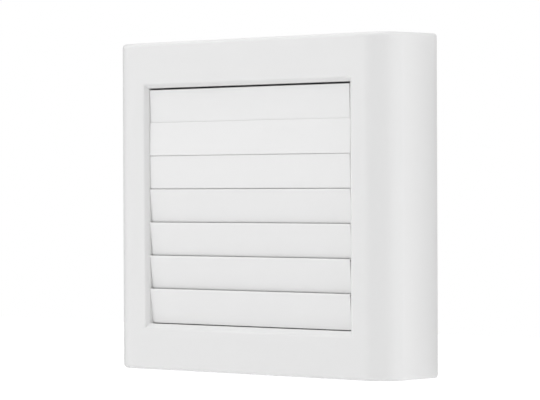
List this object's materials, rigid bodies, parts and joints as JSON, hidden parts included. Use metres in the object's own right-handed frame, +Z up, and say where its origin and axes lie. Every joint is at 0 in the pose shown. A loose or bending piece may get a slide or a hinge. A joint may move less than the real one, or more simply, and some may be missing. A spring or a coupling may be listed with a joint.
{
  "type": "heat recovery unit",
  "caption": "Square wall-mounted heat recovery ventilator with level louvre blades, a fan, a ceramic regenerator and a round duct sleeve behind.",
  "frame": {"origin": "middle of the overall box, on the fan's axis; the wall plane is 11 mm in front of it, at y = -0.011", "axes": "+Y from the room into the wall along the duct's axis, +Z up, +X to the right seen from the room"},
  "size_m": [0.22, 0.138, 0.22],
  "materials": {
    "casing_white": "satin white moulding",
    "louvre_white": "satin white moulding",
    "frame_white": "matte off-white moulding",
    "sleeve_grey": "matte light grey moulding",
    "fan_black": "satin black moulding",
    "steel": "zinc-plated steel",
    "copper_winding": "enamelled copper wire",
    "ceramic": "unglazed cream ceramic",
    "foam_dark": "closed-cell foam",
    "filter_fleece": "white filter fleece",
    "rubber_black": "matte black rubber",
    "board_green": "green solder resist",
    "component_black": "black component body",
    "terminal_green": "green terminal moulding",
    "cable_grey": "grey cable sheath"
  },
  "bodies": {
    "wall_unit": {"duct_sleeve": "sleeve_grey", "duct_seal": "rubber_black", "filter_frame": "frame_white", "room_filter": "filter_fleece", "outdoor_filter": "filter_fleece", "fan_guard": "fan_black", "fan_housing": "fan_black", "motor_stator": "copper_winding", "fan_bearing_front": "steel", "fan_bearing_rear": "steel", "regenerator_core": "ceramic", "core_foam_sleeve": "foam_dark", "outdoor_grille": "sleeve_grey", "wall_gasket": "foam_dark", "wall_plate": "frame_white", "control_board": "board_green", "power_transformer": "component_black", "fan_relay": "component_black", "power_capacitor": "component_black", "fan_header": "frame_white", "fan_plug": "frame_white", "terminal_block": "terminal_green", "terminal_guard": "frame_white", "louvre_socket": "frame_white", "fan_cable": "cable_grey", "board_screw_1": "steel", "board_screw_2": "steel", "flange_screw_1": "steel", "flange_screw_2": "steel", "flange_screw_3": "steel", "flange_screw_4": "steel"},
    "front_cover": {"front_cover": "casing_white", "louvre_frame": "frame_white", "actuator_body": "component_black", "return_spring": "steel", "louvre_plug": "component_black", "actuator_lead": "cable_grey", "actuator_screw_1": "steel", "actuator_screw_2": "steel", "frame_screw_1": "steel", "frame_screw_2": "steel", "frame_screw_3": "steel", "frame_screw_4": "steel"},
    "fan_rotor": {"fan_impeller": "fan_black", "rotor_cup": "steel", "magnet_ring": "component_black", "motor_shaft": "steel"},
    "link_bar": {"link_bar": "frame_white"},
    "plunger": {"actuator_plunger": "frame_white"},
    "blade_1": {"louvre_blade_1": "louvre_white"},
    "blade_2": {"louvre_blade_2": "louvre_white"},
    "blade_3": {"louvre_blade_3": "louvre_white"},
    "blade_4": {"louvre_blade_4": "louvre_white"},
    "blade_5": {"louvre_blade_5": "louvre_white"},
    "blade_6": {"louvre_blade_6": "louvre_white"},
    "blade_7": {"louvre_blade_7": "louvre_white"}
  },
  "joints": [
    {"name": "front_cover_pull_off", "type": "slide", "parent": "wall_unit", "child": "front_cover", "axis": [0, -1, 0], "range_m": [0, 0.06]},
    {"name": "fan_spin", "type": "hinge", "parent": "wall_unit", "child": "fan_rotor", "pos_m": [0, -0.019, 0], "axis": [0, 1, 0], "continuous": true},
    {"name": "blade_1_turn", "type": "hinge", "parent": "front_cover", "child": "blade_1", "pos_m": [0, -0.063, 0.0724], "axis": [1, 0, 0], "range_deg": [0, 75]},
    {"name": "blade_2_turn", "type": "hinge", "parent": "front_cover", "child": "blade_2", "pos_m": [0, -0.063, 0.0504], "axis": [1, 0, 0], "range_deg": [0, 75]},
    {"name": "blade_3_turn", "type": "hinge", "parent": "front_cover", "child": "blade_3", "pos_m": [0, -0.063, 0.0284], "axis": [1, 0, 0], "range_deg": [0, 75]},
    {"name": "blade_4_turn", "type": "hinge", "parent": "front_cover", "child": "blade_4", "pos_m": [0, -0.063, 0.0064], "axis": [1, 0, 0], "range_deg": [0, 75]},
    {"name": "blade_5_turn", "type": "hinge", "parent": "front_cover", "child": "blade_5", "pos_m": [0, -0.063, -0.0156], "axis": [1, 0, 0], "range_deg": [0, 75]},
    {"name": "blade_6_turn", "type": "hinge", "parent": "front_cover", "child": "blade_6", "pos_m": [0, -0.063, -0.0376], "axis": [1, 0, 0], "range_deg": [0, 75]},
    {"name": "blade_7_turn", "type": "hinge", "parent": "front_cover", "child": "blade_7", "pos_m": [0, -0.063, -0.0596], "axis": [1, 0, 0], "range_deg": [0, 75]},
    {"name": "link_bar_swing", "type": "hinge", "parent": "blade_1", "child": "link_bar", "pos_m": [-0.0876, -0.05683, 0.06731], "axis": [1, 0, 0], "range_deg": [-75, 0]},
    {"name": "plunger_push", "type": "slide", "parent": "front_cover", "child": "plunger", "axis": [0, 0, 1], "range_m": [0, 0.0098], "deforming": ["return_spring"]}
  ],
  "couplings": [
    {"joint": "blade_2_turn", "follows": "blade_1_turn", "ratio": 1},
    {"joint": "blade_3_turn", "follows": "blade_1_turn", "ratio": 1},
    {"joint": "blade_4_turn", "follows": "blade_1_turn", "ratio": 1},
    {"joint": "blade_5_turn", "follows": "blade_1_turn", "ratio": 1},
    {"joint": "blade_6_turn", "follows": "blade_1_turn", "ratio": 1},
    {"joint": "blade_7_turn", "follows": "blade_1_turn", "ratio": 1},
    {"joint": "link_bar_swing", "follows": "blade_1_turn", "ratio": -1},
    {"joint": "plunger_push", "follows": "blade_1_turn", "m_per_rad": 0.0074364}
  ]
}
